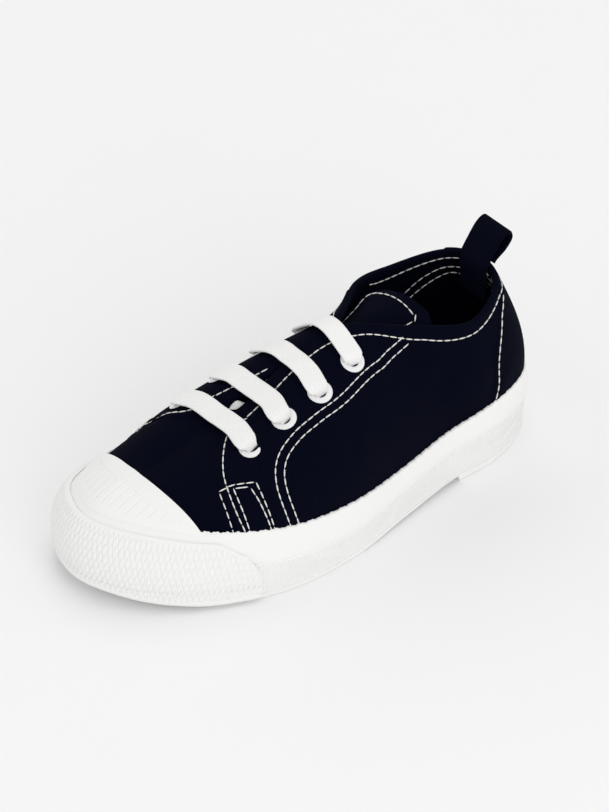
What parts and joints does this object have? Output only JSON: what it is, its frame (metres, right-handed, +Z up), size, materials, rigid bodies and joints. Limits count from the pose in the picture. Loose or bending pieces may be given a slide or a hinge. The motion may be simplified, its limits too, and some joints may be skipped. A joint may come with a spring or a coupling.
{
  "type": "canvas sneaker",
  "caption": "Child's low canvas sneaker, left foot: hollow canvas upper on a rubber sole with ribbed toe cap, knurled toe bumper, bar lacing, tongue and heel pull loop.",
  "frame": {"origin": "middle of the shoe's box at floor level, on the plane of the forefoot and heel flats", "axes": "+Z up; +Y from toe to heel, the toe points along -Y; +X towards the lateral (outer) side of the left foot"},
  "size_m": [0.0801, 0.1902, 0.0799],
  "materials": {
    "outsole_rubber": "off-white moulded rubber, satin",
    "foxing_rubber": "off-white rubber band, finely ribbed, satin",
    "bumper_rubber": "off-white rubber strip with a diamond knurl, satin",
    "cap_rubber": "off-white rubber toe cap with fine lengthwise ribs, satin",
    "insole_fabric": "dark navy canvas footbed",
    "canvas": "very dark navy plain-weave cotton canvas with off-white stitching",
    "lace_cotton": "white flat woven cotton lace",
    "loop_tape": "dark navy woven tape",
    "eyelet_enamel": "white enamelled rolled eyelet"
  },
  "bodies": {
    "root": {"outsole": "outsole_rubber", "foxing": "foxing_rubber", "toe_bumper": "bumper_rubber", "toe_cap": "cap_rubber", "insole": "insole_fabric", "upper": "canvas", "tongue": "canvas", "lace": "lace_cotton", "pull_loop": "loop_tape", "eyelet_lateral_first": "eyelet_enamel", "eyelet_lateral_second": "eyelet_enamel", "eyelet_lateral_third": "eyelet_enamel", "eyelet_lateral_fourth": "eyelet_enamel", "eyelet_medial_first": "eyelet_enamel", "eyelet_medial_second": "eyelet_enamel", "eyelet_medial_third": "eyelet_enamel", "eyelet_medial_fourth": "eyelet_enamel"}
  },
  "joints": []
}
